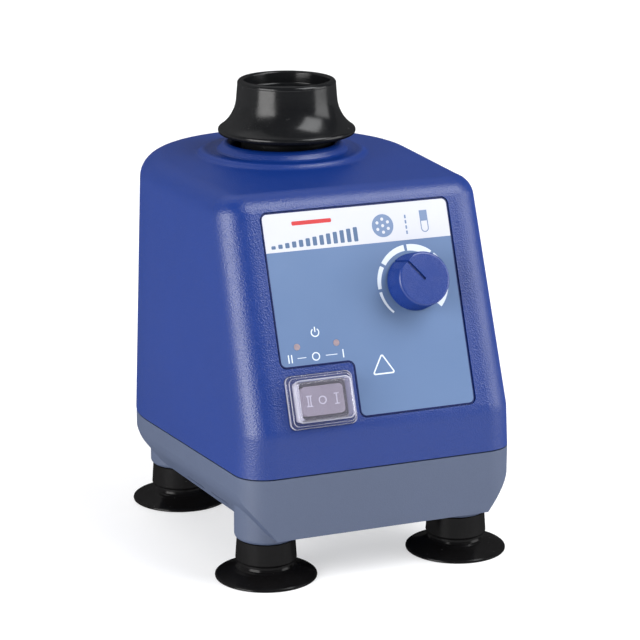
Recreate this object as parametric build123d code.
from build123d import *
from math import radians, degrees, sin, cos, tan, sqrt, pi
import os

os.makedirs("parts", exist_ok=True)

# ---------------------------------------------------------------------------
# Driving dimensions (mm).  X right, Y to the back, Z up, origin on the bench
# under the middle of the mixer.
# ---------------------------------------------------------------------------
Y0 = -4.519                    # moves everything so the overall box is centred

# housing
Z_BASE = 21.1                 # underside of the base tray
Z_CHAMFER = 36.8              # where the side walls start to lean in
Z_SEAM = 45.8                 # seam between tray and upper housing, at the front
SEAM_TILT = 2.5               # the seam and the lean line run down towards the back, degrees
GAP_SEAM = 0.5                # open line between tray and upper housing
Z_TOP = 148.3                 # flat top of the upper housing
FRONT_Y = -76.8 + Y0          # front wall at the seam
REAR_C_Y = 28.4 + Y0          # centre of the round back, under the head
REAR_R = 61.4                 # radius of the round back
FLARE = 2.7                   # side walls open towards the back, degrees
DRAFT = 1.9                   # mould draft of the upper housing, degrees
CHAMFER_A = 38.0              # lean of the lower side walls, degrees
WALL = 2.8
R_EDGE = 12.5                 # rounding of the upright and sloped edges
R_TOP = 9.5                   # rounding round the flat top
R_BASE_CORNER = 12.5

# sloped control panel
KNEE_Z = 62.7
TILT = 21.0
P0_Y = FRONT_Y + 0.35

# shaking axis and head
AX_Y = 28.4 + Y0
THROW = 2.0                   # crank throw: the head orbits on a 4 mm circle
BORE_R = 21.0                 # opening the head turns in
TRAVEL = 1.2                  # how far the head presses down to start

# legs and feet
LEG_X = 40.8
LEG_YF = -55.3 + Y0
LEG_YR = 43.0 + Y0
LEG_R = 12.4
LEG_Z = 16.0
FOOT_R = 20.0

# panel features, in panel coordinates (u right, v up the slope)
LABEL = (-39.0, 39.0, 3.75, 84.8)
NOTCH_U, NOTCH_V = -9.2, 25.5
LABEL_T = 0.7
RECESS = 1.0
SW_U, SW_V = -25.0, 12.0
BOOT_W, BOOT_H = 27.0, 20.3
KNOB_U, KNOB_V = 20.0, 53.0
KNOB_R = 10.3
KNOB_REST = 39.5              # pointer, degrees anticlockwise of straight up
LED_U = (-31.4, -15.2)
LED_V = 33.1

C = Align.CENTER
MN = Align.MIN

ca, sa = cos(radians(TILT)), sin(radians(TILT))
PANEL = Plane(origin=(0, P0_Y, KNEE_Z), x_dir=(1, 0, 0), z_dir=(0, -ca, sa))


# ---------------------------------------------------------------------------
# helpers
# ---------------------------------------------------------------------------
def cyl(r, z0, z1, x=0.0, y=0.0):
    return Pos(x, y, z0) * Cylinder(r, z1 - z0, align=(C, C, MN))


def cone(r0, r1, z0, z1, x=0.0, y=0.0):
    return Pos(x, y, z0) * Cone(r0, r1, z1 - z0, align=(C, C, MN))


def ring(ro, ri, z0, z1, x=0.0, y=0.0):
    return cyl(ro, z0, z1, x, y) - cyl(ri, z0 - 1, z1 + 1, x, y)


def block(x0, x1, y0, y1, z0, z1):
    return Pos(x0, y0, z0) * Box(x1 - x0, y1 - y0, z1 - z0, align=(MN, MN, MN))


def rblock(w, d, z0, z1, r, x=0.0, y=0.0):
    return Pos(x, y, z0) * extrude(RectangleRounded(w, d, r), amount=z1 - z0)


def rev(pts, x=0.0, y=0.0):
    """Body turned about a vertical axis from a closed (r, z) outline."""
    w = Polyline(*[(r, 0, z) for r, z in pts], close=True)
    return Pos(x, y, 0) * revolve(make_face(w), axis=Axis.Z, revolution_arc=360)


def rev_edges(edges, x=0.0, y=0.0):
    return Pos(x, y, 0) * revolve(make_face(Wire(edges)), axis=Axis.Z, revolution_arc=360)


def on_panel(shape, u=0.0, v=0.0, h=0.0, turn=0.0):
    return PANEL.location * Pos(u, v, h) * Rot(0, 0, turn) * shape


def hexnut(af, z0, z1, bore, x=0.0, y=0.0):
    n = Pos(x, y, z0) * extrude(RegularPolygon(af / 2, 6, major_radius=False), amount=z1 - z0)
    return n - cyl(bore, z0 - 1, z1 + 1, x, y)


def pan_screw(r_head, h_head, r, length, x, y, z_head_under, up=True, r_slot=None):
    """Pan head screw, shank along Z; up=True puts the head on top."""
    s = 1 if up else -1
    head = cyl(r_head, 0, h_head)
    try:
        head = fillet(head.edges().sort_by(Axis.Z)[-1], min(0.45 * h_head, 0.8))
    except Exception:
        pass
    cr = r_slot or r_head * 0.62
    head -= Pos(0, 0, h_head) * Box(2 * cr, 0.9, 1.6)
    head -= Pos(0, 0, h_head) * Box(0.9, 2 * cr, 1.6)
    body = head + cyl(r, -length, 0)
    if not up:
        body = Rot(180, 0, 0) * body
    return Pos(x, y, z_head_under) * body


def plan_face(off=0.0, front_extra=0.0):
    """D-shaped plan: flat front, flaring sides, round back; off goes inwards."""
    R = REAR_R - off
    fy = FRONT_Y + off - front_extra
    a = radians(FLARE)
    tx, ty = R * cos(a), REAR_C_Y - R * sin(a)
    fx = tx - (ty - fy) * tan(a)
    e = [
        Line((-fx, fy), (fx, fy)),
        Line((fx, fy), (tx, ty)),
        ThreePointArc((tx, ty), (0, REAR_C_Y + R), (-tx, ty)),
        Line((-tx, ty), (-fx, fy)),
    ]
    return make_face(Wire(e))


def above_seam(dz):
    """Everything above the sloping seam plane moved up by dz."""
    t = radians(SEAM_TILT)
    return Plane(origin=(0, FRONT_Y, Z_SEAM + dz), x_dir=(1, 0, 0), z_dir=(0, sin(t), cos(t))).location * \
        Box(500, 600, 300, align=(C, C, MN))


def below_seam(dz):
    t = radians(SEAM_TILT)
    return Plane(origin=(0, FRONT_Y, Z_SEAM + dz), x_dir=(1, 0, 0), z_dir=(0, -sin(t), -cos(t))).location * \
        Box(500, 600, 300, align=(C, C, MN))


out = {}


def keep(name, shape):
    out[name] = shape


# ---------------------------------------------------------------------------
# upper housing
# ---------------------------------------------------------------------------
def shell_block(off, z0, r_edge, r_top):
    body = Pos(0, 0, z0) * extrude(plan_face(off + (z0 - Z_SEAM) * tan(radians(DRAFT))),
                                   amount=Z_TOP - off - z0, taper=DRAFT)
    body -= PANEL.location * Pos(0, 0, -off) * Box(400, 400, 200, align=(C, C, MN))
    tx = (REAR_R - off) * cos(radians(FLARE))
    ty = REAR_C_Y - (REAR_R - off) * sin(radians(FLARE))
    sel, top = [], []
    for e in body.edges():
        b = e.bounding_box()
        if b.max.Z - b.min.Z < 1e-3 and abs(b.min.Z - z0) < 1e-3:
            continue                       # bottom loop
        m = e.center()
        # smooth joints between side walls and round back
        if abs(abs(m.X) - tx) < 4 and abs(m.Y - ty) < 4 and b.max.Z - b.min.Z > 60:
            continue
        if b.min.Z > Z_TOP - off - 0.01:
            continue                       # top loop, rounded second
        sel.append(e)
    body = body.solid().fillet(r_edge, sel)
    top = [e for e in body.edges() if e.bounding_box().min.Z > Z_TOP - off - 0.01]
    return body.solid().fillet(r_top, top)


outer = shell_block(0.0, 34.0, R_EDGE, R_TOP) & above_seam(GAP_SEAM)
inner = shell_block(WALL, 30.0, R_EDGE - WALL, R_TOP - WALL)

housing = outer - inner

# raised collar around the head opening, and its thickened seat inside
collar = rev([(0, 140.5), (28.6, 140.5), (31.5, Z_TOP - 1), (36.6, Z_TOP - 1), (36.6, Z_TOP),
              (35.4, Z_TOP + 0.12), (34.6, Z_TOP + 0.4), (34.0, Z_TOP + 0.9), (33.6, Z_TOP + 1.4),
              (33.2, Z_TOP + 1.75), (32.6, Z_TOP + 1.9), (31.6, Z_TOP + 1.85), (30.4, Z_TOP + 1.6),
              (28.6, Z_TOP + 1.45), (27.0, Z_TOP + 1.6), (26.2, Z_TOP + 2.1), (25.6, Z_TOP + 2.9),
              (25.0, Z_TOP + 3.7), (24.2, Z_TOP + 4.4), (23.4, Z_TOP + 4.8), (22.6, Z_TOP + 4.9),
              (21.9, Z_TOP + 4.6), (21.3, Z_TOP + 3.9), (21.0, Z_TOP + 3.0), (0, Z_TOP + 3.0)], 0, AX_Y)
housing = housing + collar
housing -= cyl(BORE_R, 120, 160, 0, AX_Y)
# dust well below the opening
housing += ring(25.4, BORE_R, 136.0, 142.0, 0, AX_Y)

# label recess (L-shaped) on the panel
u0, u1, v0, v1 = LABEL


def l_shape(grow, depth0, depth1, r=2.5):
    g = grow
    pts = [(u0 - g, NOTCH_V - g), (NOTCH_U - g, NOTCH_V - g), (NOTCH_U - g, v0 - g), (u1 + g, v0 - g),
           (u1 + g, v1 + g), (u0 - g, v1 + g)]
    f = make_face(Polyline(*pts, close=True))
    notch = [v for v in f.vertices() if abs(v.X - pts[1][0]) < 0.01 and abs(v.Y - pts[1][1]) < 0.01]
    rest = [v for v in f.vertices() if not (abs(v.X - pts[1][0]) < 0.01 and abs(v.Y - pts[1][1]) < 0.01)]
    f = fillet(notch, r - g)
    rest = [v for v in f.vertices() if min(abs(v.X - p[0]) + abs(v.Y - p[1]) for i, p in enumerate(pts) if i != 1) < 0.01]
    f = fillet(rest, r + g)
    return PANEL.location * Pos(0, 0, depth0) * extrude(f, amount=depth1 - depth0)


housing -= l_shape(0.45, -RECESS, 20)
# knob spindle hole, switch opening and lamp holes
housing -= on_panel(Cylinder(3.7, 30), KNOB_U, KNOB_V)
housing -= on_panel(Box(19.4, 13.2, 30), SW_U, SW_V)
# shallow seat for the switch frame
housing -= on_panel(extrude(RectangleRounded(BOOT_W + 0.6, BOOT_H + 0.6, 2.6), amount=30), SW_U, SW_V, -0.5)
for lu in LED_U:
    housing -= on_panel(Cylinder(1.55, 30), lu, LED_V)

# flat-floored pocket in the back for the mains inlet
INLET_Z = 66.0
POCKET_Y = REAR_C_Y + 53.6          # face the inlet flange sits on
pw, ph = 54.0, 30.0
wall_pad = Pos(0, POCKET_Y + 4.0, INLET_Z) * Box(pw + 6, 15.0, ph + 4.4)   # floor and rim of the pocket
pad_clip = shell_block(0.6, Z_SEAM + GAP_SEAM, R_EDGE - 0.6, R_TOP - 0.6)
housing += wall_pad & pad_clip
pocket = Plane(origin=(0, POCKET_Y, INLET_Z), x_dir=(-1, 0, 0), z_dir=(0, 1, 0)).location * extrude(
    RectangleRounded(pw, ph, 3.5), amount=30)
housing -= pocket
housing -= Pos(0, POCKET_Y, INLET_Z) * Box(28.4, 20, 20.6)
for sx in (-20, 20):
    housing -= Pos(sx, POCKET_Y, INLET_Z) * Rot(90, 0, 0) * Cylinder(1.6, 20)

# cooling louvres in the back, above the inlet: open slots
for i in range(5):
    housing -= Pos(0, REAR_C_Y + 56, 96 + 6.0 * i) * Box(44 - 2.0 * i, 24, 2.4)

# screw bosses standing down from the side walls to the tray
BOSSES = [(-22.0, -62.0 + Y0), (22.0, -62.0 + Y0), (-42.6, 12.0 + Y0), (42.6, 12.0 + Y0)]
boss_clip = shell_block(1.2, Z_SEAM + GAP_SEAM, R_EDGE - 1.2, R_TOP - 1.2)
for bx, by in BOSSES:
    if abs(bx) > 40:
        top_b = 72.0
        s = 1 if bx > 0 else -1
        web = block(min(bx, bx + s * 20), max(bx, bx + s * 20), by - 1.4, by + 1.4, Z_SEAM + 1.0, top_b - 4)
    else:
        top_b = 58.0
        web = block(bx - 1.4, bx + 1.4, by - 14, by, Z_SEAM + 1.0, top_b - 1)
    boss = cyl(4.6, Z_SEAM + 1.0, top_b, bx, by)
    housing += (boss + web) & boss_clip
    housing -= cyl(1.6, Z_SEAM - 2, top_b - 3, bx, by)
keep("upper_housing", housing)

# ---------------------------------------------------------------------------
# base tray
# ---------------------------------------------------------------------------
def tray_block(off, z_low, z_high, r_break=13.0):
    main = Pos(0, 0, z_low) * extrude(plan_face(off), amount=z_high - z_low)
    verts = [e for e in main.edges().filter_by(Axis.Z) if e.center().Y < FRONT_Y + off + 1]
    main = main.solid().fillet(max(R_BASE_CORNER - off, 1.0), verts)
    # sides and back lean in below the chamfer line; the front stays upright
    lean = Pos(0, 0, Z_CHAMFER) * extrude(plan_face(off - 0.25, 60), amount=Z_CHAMFER - z_low + 2,
                                          dir=(0, 0, -1), taper=CHAMFER_A)
    lean += Pos(0, 0, Z_CHAMFER) * extrude(plan_face(off - 0.25, 60), amount=z_high - Z_CHAMFER + 14)
    brk = [e for e in lean.edges()
           if abs(e.bounding_box().min.Z - Z_CHAMFER) < 0.02 and abs(e.bounding_box().max.Z - Z_CHAMFER) < 0.02
           and e.center().Y > FRONT_Y - 50]
    for r in (r_break, 9.0, 6.0, 3.0):
        try:
            lean = lean.solid().fillet(r, brk)
            print("tray side rounding", r)
            break
        except Exception:
            continue
    lean = Pos(0, FRONT_Y, Z_CHAMFER) * Rot(-SEAM_TILT, 0, 0) * Pos(0, -FRONT_Y, -Z_CHAMFER) * lean
    return (main & lean).clean()


tray = tray_block(0.0, Z_BASE, Z_SEAM + 2) & below_seam(0.0)
# small rounding of the lower edges
low_e = [e for e in tray.edges() if abs(e.bounding_box().max.Z - Z_BASE) < 0.02]
for r_low in (1.4, 1.0, 0.7, 0.4):
    try:
        tray = tray.solid().fillet(r_low, low_e)
        print("lower edge rounding", r_low)
        break
    except Exception:
        continue

LEGS = [("front_left", -LEG_X, LEG_YF), ("front_right", LEG_X, LEG_YF),
        ("rear_left", -LEG_X, LEG_YR), ("rear_right", LEG_X, LEG_YR)]
legs = None
for _, lx, ly in LEGS:
    leg = cyl(LEG_R, LEG_Z, 34.0, lx, ly)
    leg = fillet(leg.edges().sort_by(Axis.Z)[0], 1.8)
    legs = leg if legs is None else legs + leg
full = tray + legs
cavity = tray_block(WALL, Z_BASE + 3.0, Z_SEAM + 5)
tray = full - cavity
# inner lip that the upper housing locates on, rooted in the tray wall
def plan_ring(off_o, off_i, z0, z1):
    o = Pos(0, 0, z0) * extrude(plan_face(off_o), amount=z1 - z0)
    o = o.solid().fillet(R_EDGE - off_o + 0.4, [e for e in o.edges().filter_by(Axis.Z) if e.center().Y < FRONT_Y + 8])
    i = Pos(0, 0, z0 - 1) * extrude(plan_face(off_i), amount=z1 - z0 + 2)
    i = i.solid().fillet(R_EDGE - off_i + 0.4, [e for e in i.edges().filter_by(Axis.Z) if e.center().Y < FRONT_Y + 9])
    return o - i


lip = plan_ring(WALL + 0.3, WALL + 1.7, Z_SEAM - 14.0, Z_SEAM + 4.0) & above_seam(-3.0) & below_seam(2.5)
for bx, by in BOSSES:
    lip -= cyl(6.0, Z_SEAM - 5, Z_SEAM + 6, bx, by)
    if abs(bx) > 40:
        lip -= block(*((bx, bx + 20) if bx > 0 else (bx - 20, bx)), by - 2.2, by + 2.2, Z_SEAM - 5, Z_SEAM + 6)
    else:
        lip -= block(bx - 2.2, bx + 2.2, by - 20, by, Z_SEAM - 1, Z_SEAM + 6)
tray += lip
tray += plan_ring(WALL - 0.3, WALL + 1.7, Z_SEAM - 14.0, Z_SEAM + 4.0) & above_seam(-3.0) & below_seam(0.0)
# floor bosses: chassis stand-offs, leg sockets, screw pillars
CH = [(-34, -14 + Y0), (34, -14 + Y0), (-16, 44 + Y0), (16, 44 + Y0)]
for cx, cy in CH:
    tray += cyl(5.0, Z_BASE + 2.5, 27.0, cx, cy)
    tray -= cyl(1.7, Z_BASE + 1.2, 30, cx, cy)
for bx, by in BOSSES:
    tray += cyl(5.2, Z_BASE + 2.5, Z_SEAM + 0.8, bx, by) & (tray_block(0.5, Z_BASE, Z_SEAM + 3))
    tray -= cyl(2.2, Z_BASE - 2, Z_SEAM + 3, bx, by)
    tray -= cyl(4.2, Z_BASE - 8, 31.0, bx, by)
for _, lx, ly in LEGS:
    tray -= cyl(2.65, LEG_Z - 1, 40, lx, ly)
    tray -= cyl(6.2, 24.5, 44, lx, ly)
# air slots in the leaning side walls, just behind the front legs and ahead of the rear ones
for s in (-1, 1):
    for yc in (-33.0 + Y0, -9.0 + Y0):
        slot = Plane(origin=(s * 50.0, yc, 26.5), x_dir=(0, 1, 0),
                     z_dir=(s * cos(radians(CHAMFER_A)), 0, -sin(radians(CHAMFER_A)))).location * extrude(
            SlotOverall(16.0, 2.2), amount=5, both=True)
        tray -= slot
keep("base_tray", tray)

# ---------------------------------------------------------------------------
# suction feet, studs and nuts
# ---------------------------------------------------------------------------
def foot(x, y):
    pts = [(0, LEG_Z - 0.02), (11.2, LEG_Z - 0.02), (11.45, LEG_Z - 0.3), (12.0, 7.6), (11.9, 7.15), (10.75, 6.9),
           (10.6, 6.3), (10.7, 5.5), (11.1, 4.7), (12.0, 4.0), (13.4, 3.35), (16.5, 2.2), (19.4, 1.15),
           (19.9, 0.75), (20.0, 0.35), (19.9, 0.0), (18.9, 0.0), (17.6, 0.55), (12.0, 2.3), (6.0, 3.1), (0, 3.3)]
    f = rev(pts, x, y)
    return f


studs = None
nuts = None
for nm, lx, ly in LEGS:
    f = foot(lx, ly)
    f -= cyl(2.5, 8.0, 20, lx, ly)
    f -= cyl(5.0, 8.0, 10.0, lx, ly)
    keep("foot_" + nm, f)
    s = cyl(2.5, 9.5, 33.5, lx, ly) + cyl(5.0, 8.0, 10.0, lx, ly)
    studs = s if studs is None else studs + s
    n = hexnut(8.0, 25.5, 29.5, 2.5, lx, ly)
    w = ring(5.4, 2.7, 24.5, 25.5, lx, ly)
    nuts = (n + w) if nuts is None else nuts + n + w
keep("foot_studs", studs)
keep("foot_nuts", nuts)

# ---------------------------------------------------------------------------
# chassis: ballast plate on the tray, guide pins for the sprung carriage
# ---------------------------------------------------------------------------
CP_Z0, CP_Z1 = 27.0, 34.0
plate = rblock(88, 82, CP_Z0, CP_Z1, 6, 0, 16.0 + Y0)
plate = plate & tray_block(WALL + 1.2, Z_BASE + 3.5, Z_SEAM)
for _, lx, ly in LEGS:
    plate -= cyl(9.5, CP_Z0 - 1, CP_Z1 + 1, lx, ly)
for bx, by in BOSSES:
    plate -= cyl(7.0, CP_Z0 - 1, CP_Z1 + 1, bx, by)
for cx, cy in CH:
    plate -= cyl(2.2, CP_Z0 - 1, CP_Z1 + 1, cx, cy)
GP = [(-27, AX_Y - 22), (27, AX_Y - 22), (-27, AX_Y + 18), (27, AX_Y + 18)]
for gx, gy in GP:
    plate -= cyl(3.0, CP_Z0 - 1, CP_Z1 + 1, gx, gy)
keep("ballast_plate", plate)

scr = None
for cx, cy in CH:
    s = pan_screw(3.6, 2.4, 1.6, 10.0, cx, cy, CP_Z1, True)
    scr = s if scr is None else scr + s
keep("chassis_screws", scr)

pins = None
clips = None
for gx, gy in GP:
    p = cyl(3.0, CP_Z0, 58.0, gx, gy)
    p -= ring(4.0, 2.4, 54.4, 55.6, gx, gy)
    p = chamfer(p.edges().sort_by(Axis.Z)[-1], 0.5)
    pins = p if pins is None else pins + p
    c = ring(5.2, 2.42, 54.5, 55.5, gx, gy) - block(gx - 1.6, gx + 1.6, gy - 8, gy, 50, 60)
    clips = c if clips is None else clips + c
keep("guide_pins", pins)
keep("pin_clips", clips)

# ---------------------------------------------------------------------------
# sprung carriage: lower bracket, bushes, motor
# ---------------------------------------------------------------------------
CB_Z0, CB_Z1 = 48.0, 51.0
low_br = rblock(72, 62, CB_Z0, CB_Z1, 6, 0, AX_Y - 2)
low_br -= cyl(7.0, CB_Z0 - 1, CB_Z1 + 1, 0, AX_Y)
for gx, gy in GP:
    low_br -= cyl(4.6, CB_Z0 - 1, CB_Z1 + 1, gx, gy)
CORN = [(-28, AX_Y - 9), (28, AX_Y - 9), (-28, AX_Y + 7), (28, AX_Y + 7)]
for px, py in CORN:
    low_br += cyl(3.6, CB_Z1 - 0.5, 64.0, px, py)
    low_br -= cyl(1.7, CB_Z0 - 1, 66, px, py)
low_br += ring(11.0, 7.0, CB_Z0 - 2.5, CB_Z1 + 2.0, 0, AX_Y)
keep("carriage_bracket", low_br)

bush = None
for gx, gy in GP:
    b = ring(4.58, 3.04, CB_Z0 - 1.2, CB_Z1 + 1.2, gx, gy) + ring(6.0, 3.04, CB_Z1 + 0.01, CB_Z1 + 1.2, gx, gy) \
        + ring(6.0, 3.04, CB_Z0 - 1.2, CB_Z0 - 0.01, gx, gy)
    bush = b if bush is None else bush + b
keep("guide_bushes", bush)

# compression springs between ballast plate and carriage bushes
SP_Z0, SP_Z1 = CP_Z1 + 0.02, CB_Z0 - 1.22
springs = None
for gx, gy in GP:
    wr = 0.55
    h = (SP_Z1 - SP_Z0) - 2 * wr
    path = Helix(pitch=h / 4.0, height=h, radius=4.3)
    prof = Plane(origin=path @ 0, z_dir=path % 0) * Circle(wr)
    sp = sweep(prof, path=path)
    sp = Pos(gx, gy, SP_Z0 + wr) * sp
    springs = sp if springs is None else springs + sp
keep("carriage_springs", springs)

# stator: laminated square frame with two poles, bore for the rotor
ST_Z0, ST_Z1 = 64.0, 88.0
st = rblock(66, 46, ST_Z0, ST_Z1, 4, 0, AX_Y - 1) - rblock(50, 34, ST_Z0 - 1, ST_Z1 + 1, 2, 0, AX_Y - 1)
for s in (-1, 1):
    st += block(min(s * 14, s * 26), max(s * 14, s * 26), AX_Y - 8, AX_Y + 6, ST_Z0, ST_Z1)
    st += (ring(20.0, 15.0, ST_Z0, ST_Z1, 0, AX_Y) &
           block(min(s * 6, s * 30), max(s * 6, s * 30), AX_Y - 12, AX_Y + 12, ST_Z0, ST_Z1))
st -= cyl(15.6, ST_Z0 - 1, ST_Z1 + 1, 0, AX_Y)
for px, py in CORN:
    st -= cyl(1.75, ST_Z0 - 1, ST_Z1 + 1, px, py)
for i in range(1, 8):                         # lamination grooves round the outside
    z = ST_Z0 + 3.0 * i
    st -= rblock(70, 50, z - 0.12, z + 0.12, 4, 0, AX_Y - 1) - rblock(65.2, 45.2, z - 1, z + 1, 4, 0, AX_Y - 1)
keep("stator_core", st)

wind = None
for s in (-1, 1):
    xa, xb = sorted((s * 20.4, s * 24.1))
    w = block(xa, xb, AX_Y - 14.0, AX_Y + 12.0, ST_Z0 - 5, ST_Z1 + 5)
    w -= block(xa - 1, xb + 1, AX_Y - 8.2, AX_Y + 6.2, ST_Z0 - 0.2, ST_Z1 + 0.2)
    wind = w if wind is None else wind + w
keep("stator_windings", wind)

UB_Z0, UB_Z1 = 98.0, 101.0
up_br = rblock(66, 26, UB_Z0, UB_Z1, 5, 0, AX_Y - 1)
for px, py in CORN:
    up_br += cyl(3.6, ST_Z1, UB_Z0 + 0.5, px, py)
    up_br -= cyl(1.75, ST_Z1 - 1, UB_Z1 + 1, px, py)
up_br += ring(11.0, 7.0, UB_Z0 - 2.5, UB_Z1 + 2.0, 0, AX_Y)
up_br -= cyl(7.0, UB_Z0 - 4, UB_Z1 + 4, 0, AX_Y)
keep("upper_bracket", up_br)

mb = None
for px, py in CORN:
    s = pan_screw(3.2, 2.2, 1.6, UB_Z1 - CB_Z0 + 2.6, px, py, UB_Z1, True)
    n = hexnut(6.0, CB_Z0 - 2.4, CB_Z0, 1.6, px, py)
    mb = (s + n) if mb is None else mb + s + n
keep("motor_screws", mb)

SH_R = 4.0
keep("lower_bearing", ring(6.99, SH_R + 0.03, CB_Z0 - 2.5, CB_Z1 + 2.0, 0, AX_Y))
keep("upper_bearing", ring(6.99, SH_R + 0.03, UB_Z0 - 2.5, UB_Z1 + 2.0, 0, AX_Y))

# ---------------------------------------------------------------------------
# rotor: shaft with crank, squirrel-cage core, fan, counterweight
# ---------------------------------------------------------------------------
CR_Z0, CR_Z1 = 114.0, 119.0
shaft = cyl(SH_R, 40.5, CR_Z0 + 1, 0, AX_Y)
shaft = chamfer(shaft.edges().sort_by(Axis.Z)[0], 0.4)
shaft += cyl(8.5, CR_Z0, CR_Z1, 0.8, AX_Y)
PIN_TOP = 157.0
shaft += cyl(4.0, CR_Z1 - 1, PIN_TOP, THROW, AX_Y)
shaft += cyl(5.6, CR_Z1 - 0.5, CR_Z1 + 3.0, THROW, AX_Y)
shaft -= cyl(1.5, PIN_TOP - 12, PIN_TOP + 1, THROW, AX_Y)
keep("crank_shaft", shaft)

core = ring(15.0, SH_R, ST_Z0, ST_Z1, 0, AX_Y)
for zz in (ST_Z0 - 2.5, ST_Z1):
    core += ring(14.0, 9.0, zz, zz + 2.5, 0, AX_Y)
keep("rotor_core", core)

fan = ring(6.5, SH_R, 54.2, 61.0, 0, AX_Y) + ring(19.0, SH_R, 54.2, 55.6, 0, AX_Y)
for i in range(9):
    a = i * 40
    fan += Pos(0, AX_Y, 54.2) * Rot(0, 0, a) * Pos(12.2, 0, 0) * Rot(0, 0, 22) * Box(13.0, 1.2, 6.4, align=(C, C, MN))
keep("fan", fan)

cw = cyl(25.0, 104.5, 112.5, 0, AX_Y) & block(-60, 2.0, AX_Y - 60, AX_Y + 60, 100, 120)
cw = cw + cyl(9.0, 104.5, 112.5, 0, AX_Y)
cw -= cyl(SH_R, 100, 120, 0, AX_Y)
cw -= Pos(6.0, AX_Y, 108.5) * Rot(0, 90, 0) * Cylinder(1.5, 8)
cw = cw.clean()
keep("counterweight", cw)
keep("counterweight_screw", Pos(6.6, AX_Y, 108.5) * Rot(0, 90, 0) * Cylinder(1.48, 4.6))

# ---------------------------------------------------------------------------
# cup head: rubber cup, hub, bearings, retaining screw
# ---------------------------------------------------------------------------
spl = Spline((20.15, 0, 176.9), (20.35, 0, 174.4), (20.6, 0, 171.6), (20.95, 0, 168.8), (21.9, 0, 165.9),
             (23.5, 0, 163.0), (25.6, 0, 160.6), (27.35, 0, 159.2), tangents=[(0.05, 0, -1), (0.9, 0, -0.55)])
edges = [
    Line((0, 0, 163.6), (9.0, 0, 163.6)),
    ThreePointArc((9.0, 0, 163.6), (11.6, 0, 164.4), (13.0, 0, 166.8)),
    Line((13.0, 0, 166.8), (13.9, 0, 172.2)),
    ThreePointArc((13.9, 0, 172.2), (14.2, 0, 172.8), (14.8, 0, 173.1)),
    Line((14.8, 0, 173.1), (16.1, 0, 173.3)),
    ThreePointArc((16.1, 0, 173.3), (16.6, 0, 173.55), (16.9, 0, 174.1)),
    Line((16.9, 0, 174.1), (17.3, 0, 177.65)),
    ThreePointArc((17.3, 0, 177.65), (17.6, 0, 178.45), (18.3, 0, 178.75)),
    Line((18.3, 0, 178.75), (18.8, 0, 178.75)),
    ThreePointArc((18.8, 0, 178.75), (19.8, 0, 178.2), (20.15, 0, 176.9)),
    spl,
    ThreePointArc((27.35, 0, 159.2), (28.1, 0, 158.3), (28.1, 0, 157.5)),
    ThreePointArc((28.1, 0, 157.5), (27.6, 0, 156.75), (26.6, 0, 156.6)),
    Line((26.6, 0, 156.6), (21.4, 0, 156.6)),
    ThreePointArc((21.4, 0, 156.6), (19.5, 0, 155.8), (18.8, 0, 154.0)),
    Line((18.8, 0, 154.0), (18.4, 0, 138.0)),
    Line((18.4, 0, 138.0), (15.0, 0, 138.0)),
    Line((15.0, 0, 138.0), (15.0, 0, 154.0)),
    Line((15.0, 0, 154.0), (8.0, 0, 154.0)),
    Line((8.0, 0, 154.0), (8.0, 0, 160.6)),
    Line((8.0, 0, 160.6), (0, 0, 160.6)),
    Line((0, 0, 160.6), (0, 0, 163.6)),
]
cup = rev_edges(edges, THROW, AX_Y)
keep("cup_head", cup)

hub = ring(15.0, 11.0, 126.0, 154.0, THROW, AX_Y)
hub -= ring(16.0, 12.8, 125.0, 130.0, THROW, AX_Y)
hub += ring(11.0, 9.4, 135.0, 145.0, THROW, AX_Y)
keep("head_hub", hub)


def ball_bearing(z0, z1, ro, ri):
    zm = (z0 + z1) / 2
    b = ring(ro, ri, z0, z1, THROW, AX_Y)
    b -= ring(ro - 2.0, ri + 2.0, z0 - 1, z0 + 0.5, THROW, AX_Y)
    b -= ring(ro - 2.0, ri + 2.0, z1 - 0.5, z1 + 1, THROW, AX_Y)
    return b


keep("head_bearings", ball_bearing(128.0, 135.0, 10.99, SH_R + 0.03) + ball_bearing(145.0, 152.0, 10.99, SH_R + 0.03))
hs = cyl(6.2, PIN_TOP, PIN_TOP + 0.8, THROW, AX_Y) + cyl(3.6, PIN_TOP + 0.8, PIN_TOP + 2.8, THROW, AX_Y)
hs += cyl(1.48, PIN_TOP - 10, PIN_TOP + 0.4, THROW, AX_Y)
hs -= Pos(THROW, AX_Y, PIN_TOP + 2.8) * extrude(RegularPolygon(1.5, 6), amount=-1.4)
keep("crank_pin_screw", hs)

# ---------------------------------------------------------------------------
# panel: label, lamps, switch, knob
# ---------------------------------------------------------------------------
lab = l_shape(0.0, -RECESS, -RECESS + LABEL_T)
lab -= on_panel(Cylinder(4.2, 6), KNOB_U, KNOB_V)
for lu in LED_U:
    lab -= on_panel(Cylinder(1.3, 6), lu, LED_V)
keep("front_label", lab)

lens = None
leds = None
for lu in LED_U:
    l = on_panel(cyl(1.25, -5.5, -0.25) + cyl(2.2, -5.5, -WALL - 0.1), lu, LED_V)
    l = l if lens is None else l
    lens = l if lens is None else lens + l
    d = on_panel(cyl(2.2, -9.0, -5.6), lu, LED_V)
    leds = d if leds is None else leds + d
keep("lamp_lenses", lens)
keep("lamp_leds", leds)

# three-position rocker switch
SF_H = 1.5                                   # bezel height over the panel seat
bez = extrude(RectangleRounded(21.0, 15.0, 1.2), amount=SF_H)
bez -= Pos(0, 0, -1) * extrude(RectangleRounded(17.6, 11.9, 0.8), amount=5)
bodyb = Pos(0, 0, -16.0) * extrude(RectangleRounded(19.0, 12.8, 0.8), amount=16.0)
bodyb -= Pos(0, 0, -9.0) * extrude(RectangleRounded(17.6, 11.9, 0.6), amount=12.0)
sw = bez + bodyb
for tx in (-6.5, 0, 6.5):
    sw += Pos(tx, 0, -22.0) * Box(0.8, 4.8, 6.2, align=(C, C, MN))
keep("switch_body", on_panel(sw, SW_U, SW_V, -0.5))

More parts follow.
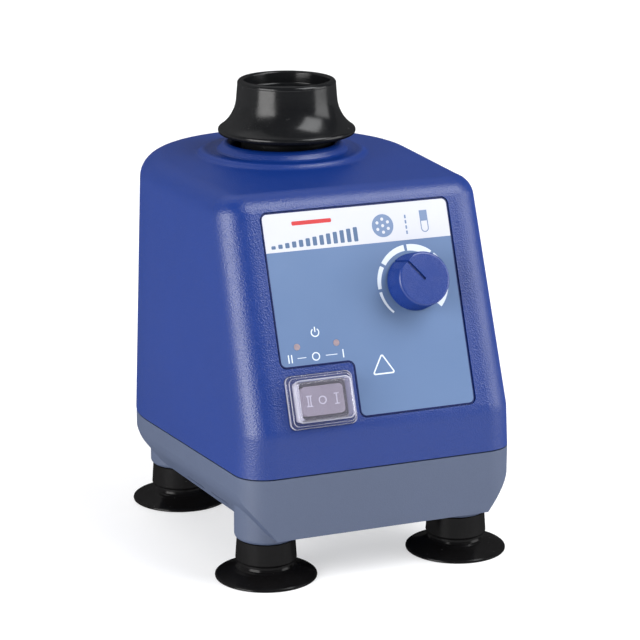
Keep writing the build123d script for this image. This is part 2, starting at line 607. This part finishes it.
ROCK_H = 1.0                                  # hinge height over the panel plane
rk = Pos(0, 0, -2.2) * Box(16.8, 11.3, 3.25, align=(C, C, MN))
wing = make_face(Polyline((-8.4, 0, 1.0), (-8.4, 0, 2.2), (0, 0, 1.15), (8.4, 0, 2.2), (8.4, 0, 1.0), close=True))
rk += Pos(0, 5.65, 0) * extrude(wing, amount=11.3, dir=(0, -1, 0))
try:
    rk = fillet(rk.edges().filter_by(Axis.Z), 1.7)
except Exception as ex:
    print("rocker corners:", ex)
rk += Pos(0, 0, -2.2) * Box(7.0, 6.0, 4.0, align=(C, C, C))
rk += Rot(90, 0, 0) * Cylinder(1.0, 11.3)
keep("switch_rocker", on_panel(rk, SW_U, SW_V, ROCK_H))

# clear splash boot over the switch: flange, two steps, thin dome
def rr(w, h, r, z0, z1):
    return Pos(0, 0, z0) * extrude(RectangleRounded(w, h, r), amount=z1 - z0)


b_out = rr(BOOT_W, BOOT_H, 2.4, 0, 2.2)
b_out += rr(BOOT_W - 1.8, BOOT_H - 1.8, 2.2, 2.0, 3.4)
b_out += rr(BOOT_W - 4.2, BOOT_H - 4.0, 2.4, 3.0, 7.4)
te = [e for e in b_out.edges() if abs(e.center().Z - 7.4) < 0.01]
try:
    b_out = b_out.solid().fillet(1.8, te)
except Exception as ex:
    print("boot top:", ex)
b_out = b_out.clean()
for zz, w0, h0 in ((2.2, BOOT_W, BOOT_H), (3.4, BOOT_W - 1.8, BOOT_H - 1.8)):
    te = []
    for e in b_out.edges():
        bb = e.bounding_box()
        if abs(bb.min.Z - zz) > 0.01 or abs(bb.max.Z - zz) > 0.01:
            continue
        if max(abs(bb.max.X), abs(bb.min.X)) > w0 / 2 - 0.05 or max(abs(bb.max.Y), abs(bb.min.Y)) > h0 / 2 - 0.05:
            te.append(e)
    for r in (0.45, 0.3):
        try:
            b_out = b_out.solid().fillet(r, te)
            break
        except Exception as ex:
            print("boot step", zz, r, len(te))
b_in = rr(21.2, 15.2, 1.3, -1, 1.55) + rr(20.6, 14.2, 1.6, 1.5, 6.4)
boot = b_out - b_in
keep("switch_boot", on_panel(boot, SW_U, SW_V, -0.5))

# potentiometer, its nut, and the knob
POT_TOP = -WALL + 0.0
pot = cyl(8.2, -WALL - 9.0, -WALL - 0.02) + cyl(3.55, -WALL - 1, 2.6) - cyl(3.06, -WALL - 12, 6)
pot += cyl(7.0, -WALL - 9.0, -WALL - 7.6)
for tx in (-4.0, 0, 4.0):
    pot += Pos(tx, -9.6, -WALL - 7.5) * Box(1.2, 5.0, 0.7)
keep("potentiometer", on_panel(pot, KNOB_U, KNOB_V))
keep("pot_nut", on_panel(hexnut(9.6, -RECESS + LABEL_T + 0.02, 1.7, 3.56), KNOB_U, KNOB_V))
sh = cyl(3.0, -WALL - 7.0, 8.2)
keep("pot_spindle", on_panel(sh, KNOB_U, KNOB_V))

KH = 11.2                                     # face height over the panel
K0 = 0.4
kn = rev_edges([
    Line((0, 0, K0), (10.9, 0, K0)),
    ThreePointArc((10.9, 0, K0), (11.15, 0, K0 + 0.15), (11.2, 0, K0 + 0.4)),
    Line((11.2, 0, K0 + 0.4), (10.55, 0, KH - 1.0)),
    ThreePointArc((10.55, 0, KH - 1.0), (10.2, 0, KH - 0.25), (9.5, 0, KH)),
    Line((9.5, 0, KH), (0, 0, KH)),
    Line((0, 0, KH), (0, 0, K0)),
])
# thumb flat below the pointer end and the pointer groove on the face
flat = Pos(0, 11.35, 0) * Rot(10.1, 0, 0) * Pos(0, 3.5, 0) * Box(30, 7.0, 40)
kn -= flat
kn -= Pos(0, 5.2, KH) * Box(1.15, 11.2, 1.5)
kn -= Pos(0, 11.35, 0) * Rot(10.1, 0, 0) * Box(1.15, 0.9, 40)
# underside: recess round the nut and the spindle bore
kn -= cyl(6.4, -1, 3.2)
kn -= cyl(3.0, -1, 8.25)
keep("speed_knob", on_panel(kn, KNOB_U, KNOB_V, 0, KNOB_REST))

# ---------------------------------------------------------------------------
# control board behind the panel, touch switch under the carriage
# ---------------------------------------------------------------------------
BZ = Z_BASE
BOARD_PTS = [(-30, -49.5 + Y0), (30, -49.5 + Y0), (-30, -31.0 + Y0), (30, -31.0 + Y0)]
pcb = block(-38, 38, -53 + Y0, -27 + Y0, 40.0, 41.6)
for cx, cy in BOARD_PTS:
    pcb -= cyl(1.6, 38, 44, cx, cy)
keep("control_board", pcb)
comp = block(-24, -12, -51 + Y0, -38 + Y0, 41.62, 53)
comp += cyl(5.0, 41.62, 55, 0, -43 + Y0)
comp += block(10, 24, -51 + Y0, -44 + Y0, 41.62, 48)
comp += block(12, 22, -38 + Y0, -29 + Y0, 41.62, 50)
comp += block(-24, -6, -34 + Y0, -29 + Y0, 41.62, 46)
keep("board_components", comp)
stand = None
for cx, cy in BOARD_PTS:
    s = cyl(3.0, BZ + 3.0, 40.0, cx, cy) + pan_screw(2.8, 1.8, 1.5, 3.0, cx, cy, 41.6, True)
    stand = s if stand is None else stand + s
keep("board_standoffs", stand)

TS_X, TS_Y = 0.0, AX_Y + 22.0
ts = block(TS_X - 10, TS_X + 10, TS_Y - 3.2, TS_Y + 3.2, CP_Z1, 44.0)
ts -= cyl(1.35, 40.5, 46, TS_X, TS_Y)
keep("touch_switch", ts)
pl = cyl(1.3, 42.0, CB_Z0 - 0.02, TS_X, TS_Y)
keep("touch_plunger", pl)

# ---------------------------------------------------------------------------
# mains inlet in the rear pocket
# ---------------------------------------------------------------------------
def rear_xy(w, h, r, d0, d1):
    """Rounded block standing on the pocket floor, depth along +Y."""
    pln = Plane(origin=(0, POCKET_Y + d0, INLET_Z), x_dir=(-1, 0, 0), z_dir=(0, 1, 0))
    return pln.location * extrude(RectangleRounded(w, h, r), amount=d1 - d0)


inl = rear_xy(49.5, 23.0, 4.0, 0.0, 3.0) + rear_xy(27.8, 20.0, 1.5, -16.0, 0.5)
inl -= rear_xy(24.6, 16.6, 3.0, -13.5, 10.0)
for px in (-7.0, 0.0, 7.0):
    pz = 2.0 if px == 0 else -2.0
    inl += Pos(px, POCKET_Y - 14.5 + 6.2, INLET_Z + pz) * Box(2.0, 12.4, 4.0)
for sx in (-20, 20):
    inl -= Pos(sx, POCKET_Y, INLET_Z) * Rot(90, 0, 0) * Cylinder(1.6, 20)
keep("mains_inlet", inl)
isc = None
for sx in (-20, 20):
    s = Pos(sx, POCKET_Y + 3.0, INLET_Z) * Rot(-90, 0, 0) * pan_screw(2.9, 1.6, 1.5, 9.0, 0, 0, 0, True)
    isc = s if isc is None else isc + s
keep("inlet_screws", isc)

# housing screws from below, heads inside the counterbores
hsc = None
for bx, by in BOSSES:
    s = pan_screw(3.6, 2.6, 1.58, 23.0, bx, by, 31.0, False)
    hsc = s if hsc is None else hsc + s
keep("housing_screws", hsc)

# blank rating plate on the underside
keep("rating_plate", rblock(40, 24, Z_BASE - 0.4, Z_BASE, 2, 0, -8 + Y0))

# ---------------------------------------------------------------------------
# write everything
# ---------------------------------------------------------------------------
lo = [1e9] * 3
hi = [-1e9] * 3
for name, shape in out.items():
    b = shape.bounding_box()
    for i, (a, c) in enumerate(((b.min.X, b.max.X), (b.min.Y, b.max.Y), (b.min.Z, b.max.Z))):
        lo[i] = min(lo[i], a)
        hi[i] = max(hi[i], c)
    export_step(shape, "parts/" + name + ".step")
print("nodes", len(out))
print("box", [round(v, 3) for v in lo], [round(v, 3) for v in hi])
print("centre", round((lo[0] + hi[0]) / 2, 3), round((lo[1] + hi[1]) / 2, 3))
